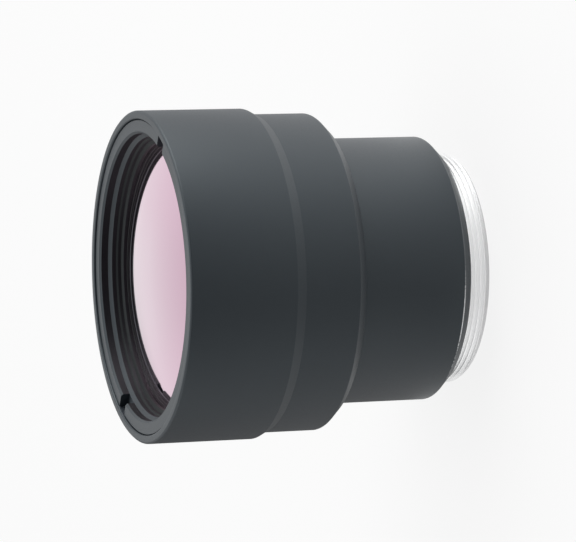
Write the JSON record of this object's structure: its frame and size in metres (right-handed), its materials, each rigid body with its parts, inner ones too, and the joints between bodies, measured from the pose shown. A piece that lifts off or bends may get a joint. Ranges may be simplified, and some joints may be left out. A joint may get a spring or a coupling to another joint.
{
  "type": "thermal infrared lens",
  "caption": "Fixed thermal infrared lens: stepped dark anodised barrel, coated front element under a slotted retaining ring, and a bare ring with a fine mount thread at the rear.",
  "frame": {"origin": "on the optical axis in the rear end face of the mount ring, on which the lens stands", "axes": "+Z along the optical axis towards the front element, +X through the ring's spanner slots"},
  "size_m": [0.048, 0.048, 0.0476],
  "materials": {
    "dark_anodised": "fine turned, dark blue-grey anodised, satin",
    "blackened_aluminium": "matte black anodised against stray light",
    "bare_aluminium": "bare, bright turned",
    "coated_germanium": "polished and coated, pale pink, opaque to visible light",
    "seal_rubber": "smooth, black",
    "seat_film": "amber polyimide film",
    "shim_steel": "rolled"
  },
  "bodies": {
    "root": {"barrel": "dark_anodised", "front_retaining_ring": "dark_anodised", "front_slip_ring": "dark_anodised", "front_lens": "coated_germanium", "front_lens_seal": "seal_rubber", "front_seat_washer": "seat_film", "light_baffle": "blackened_aluminium", "aperture_stop": "blackened_aluminium", "back_focus_shim": "shim_steel", "rear_cell": "blackened_aluminium", "cell_seal": "seal_rubber", "middle_retaining_ring": "blackened_aluminium", "middle_lens": "coated_germanium", "middle_seat_washer": "seat_film", "rear_seat_washer": "seat_film", "rear_lens": "coated_germanium", "rear_lens_seal": "seal_rubber", "rear_slip_ring": "blackened_aluminium", "rear_retaining_ring": "blackened_aluminium", "mount_ring": "bare_aluminium"}
  },
  "joints": []
}
